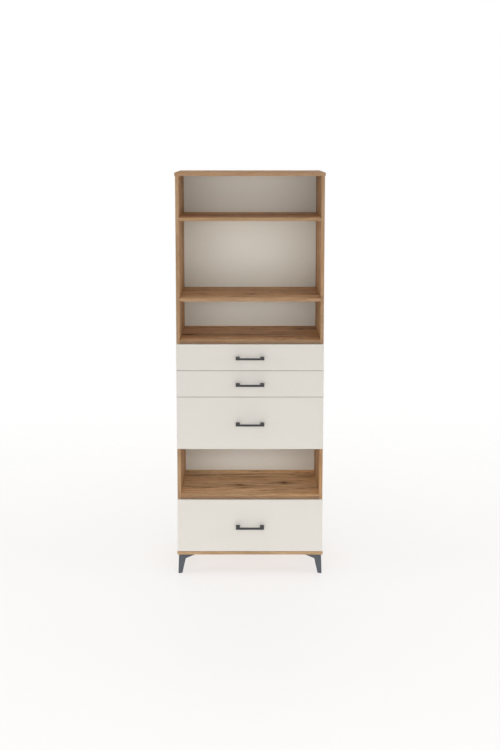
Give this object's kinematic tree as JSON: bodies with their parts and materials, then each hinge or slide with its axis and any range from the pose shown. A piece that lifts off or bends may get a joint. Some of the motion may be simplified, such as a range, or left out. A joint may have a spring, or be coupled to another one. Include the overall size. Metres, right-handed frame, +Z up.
{
  "type": "tall bookcase with drawers",
  "caption": "Tall narrow bookcase with open shelves above, an open niche, cream drawers with bar handles on telescopic runners, a wood-decor carcass and splayed metal legs.",
  "frame": {"origin": "on the floor, at the middle of the width and of the overall depth, handles included", "axes": "+Z up, -Y towards the drawer fronts, +X to the right of someone facing the front"},
  "size_m": [0.724, 0.44, 2],
  "materials": {
    "oak_decor_board": "rustic oak decor, brown with dark streaks and small knots, satin",
    "cream_back_board": "thin board, cream paper face, matt",
    "cream_front_board": "cream melamine, matt, with edging",
    "drawer_box_board": "pale melamine, matt",
    "drawer_bottom_board": "thin board, pale paper face, matt",
    "anthracite_metal": "fine-textured anthracite powder coat",
    "runner_steel": "zinc-plated rolled steel",
    "zinc_screw": "zinc-plated steel",
    "zinc_casting": "die-cast zinc",
    "beech_dowel": "fluted beech",
    "glide_plastic": "black moulded plastic"
  },
  "bodies": {
    "carcass": {"left_side_panel": "oak_decor_board", "right_side_panel": "oak_decor_board", "top_panel": "oak_decor_board", "bottom_panel": "oak_decor_board", "upper_shelf": "oak_decor_board", "middle_shelf": "oak_decor_board", "open_section_floor": "oak_decor_board", "niche_top_panel": "oak_decor_board", "niche_floor_panel": "oak_decor_board", "upper_back_panel": "cream_back_board", "lower_back_panel": "cream_back_board", "front_left_leg": "anthracite_metal", "front_right_leg": "anthracite_metal", "rear_right_leg": "anthracite_metal", "rear_left_leg": "anthracite_metal", "foot_glides": "glide_plastic", "wood_screws": "zinc_screw", "cam_locks": "zinc_casting", "cam_bolts": "zinc_screw", "dowels": "beech_dowel", "shelf_pins": "zinc_screw", "back_panel_nails": "zinc_screw", "left_cabinet_rails": "runner_steel", "right_cabinet_rails": "runner_steel"},
    "drawer_1": {"drawer_1_front": "cream_front_board", "drawer_1_left_side": "drawer_box_board", "drawer_1_right_side": "drawer_box_board", "drawer_1_back": "drawer_box_board", "drawer_1_bottom": "drawer_bottom_board", "drawer_1_handle": "anthracite_metal", "drawer_1_fasteners": "zinc_screw", "drawer_1_drawer_rails": "runner_steel"},
    "drawer_1_runners": {"drawer_1_middle_rails": "runner_steel"},
    "drawer_2": {"drawer_2_front": "cream_front_board", "drawer_2_left_side": "drawer_box_board", "drawer_2_right_side": "drawer_box_board", "drawer_2_back": "drawer_box_board", "drawer_2_bottom": "drawer_bottom_board", "drawer_2_handle": "anthracite_metal", "drawer_2_fasteners": "zinc_screw", "drawer_2_drawer_rails": "runner_steel"},
    "drawer_2_runners": {"drawer_2_middle_rails": "runner_steel"},
    "drawer_3": {"drawer_3_front": "cream_front_board", "drawer_3_left_side": "drawer_box_board", "drawer_3_right_side": "drawer_box_board", "drawer_3_back": "drawer_box_board", "drawer_3_bottom": "drawer_bottom_board", "drawer_3_handle": "anthracite_metal", "drawer_3_fasteners": "zinc_screw", "drawer_3_drawer_rails": "runner_steel"},
    "drawer_3_runners": {"drawer_3_middle_rails": "runner_steel"},
    "drawer_4": {"drawer_4_front": "cream_front_board", "drawer_4_left_side": "drawer_box_board", "drawer_4_right_side": "drawer_box_board", "drawer_4_back": "drawer_box_board", "drawer_4_bottom": "drawer_bottom_board", "drawer_4_handle": "anthracite_metal", "drawer_4_fasteners": "zinc_screw", "drawer_4_drawer_rails": "runner_steel"},
    "drawer_4_runners": {"drawer_4_middle_rails": "runner_steel"}
  },
  "joints": [
    {"name": "drawer_1_slide", "type": "slide", "parent": "carcass", "child": "drawer_1", "axis": [0, -1, 0], "range_m": [0, 0.35]},
    {"name": "drawer_1_runner_slide", "type": "slide", "parent": "carcass", "child": "drawer_1_runners", "axis": [0, -1, 0], "range_m": [0, 0.175]},
    {"name": "drawer_2_slide", "type": "slide", "parent": "carcass", "child": "drawer_2", "axis": [0, -1, 0], "range_m": [0, 0.35]},
    {"name": "drawer_2_runner_slide", "type": "slide", "parent": "carcass", "child": "drawer_2_runners", "axis": [0, -1, 0], "range_m": [0, 0.175]},
    {"name": "drawer_3_slide", "type": "slide", "parent": "carcass", "child": "drawer_3", "axis": [0, -1, 0], "range_m": [0, 0.35]},
    {"name": "drawer_3_runner_slide", "type": "slide", "parent": "carcass", "child": "drawer_3_runners", "axis": [0, -1, 0], "range_m": [0, 0.175]},
    {"name": "drawer_4_slide", "type": "slide", "parent": "carcass", "child": "drawer_4", "axis": [0, -1, 0], "range_m": [0, 0.35]},
    {"name": "drawer_4_runner_slide", "type": "slide", "parent": "carcass", "child": "drawer_4_runners", "axis": [0, -1, 0], "range_m": [0, 0.175]}
  ],
  "couplings": [
    {"joint": "drawer_1_runner_slide", "follows": "drawer_1_slide", "ratio": 0.5},
    {"joint": "drawer_2_runner_slide", "follows": "drawer_2_slide", "ratio": 0.5},
    {"joint": "drawer_3_runner_slide", "follows": "drawer_3_slide", "ratio": 0.5},
    {"joint": "drawer_4_runner_slide", "follows": "drawer_4_slide", "ratio": 0.5}
  ]
}
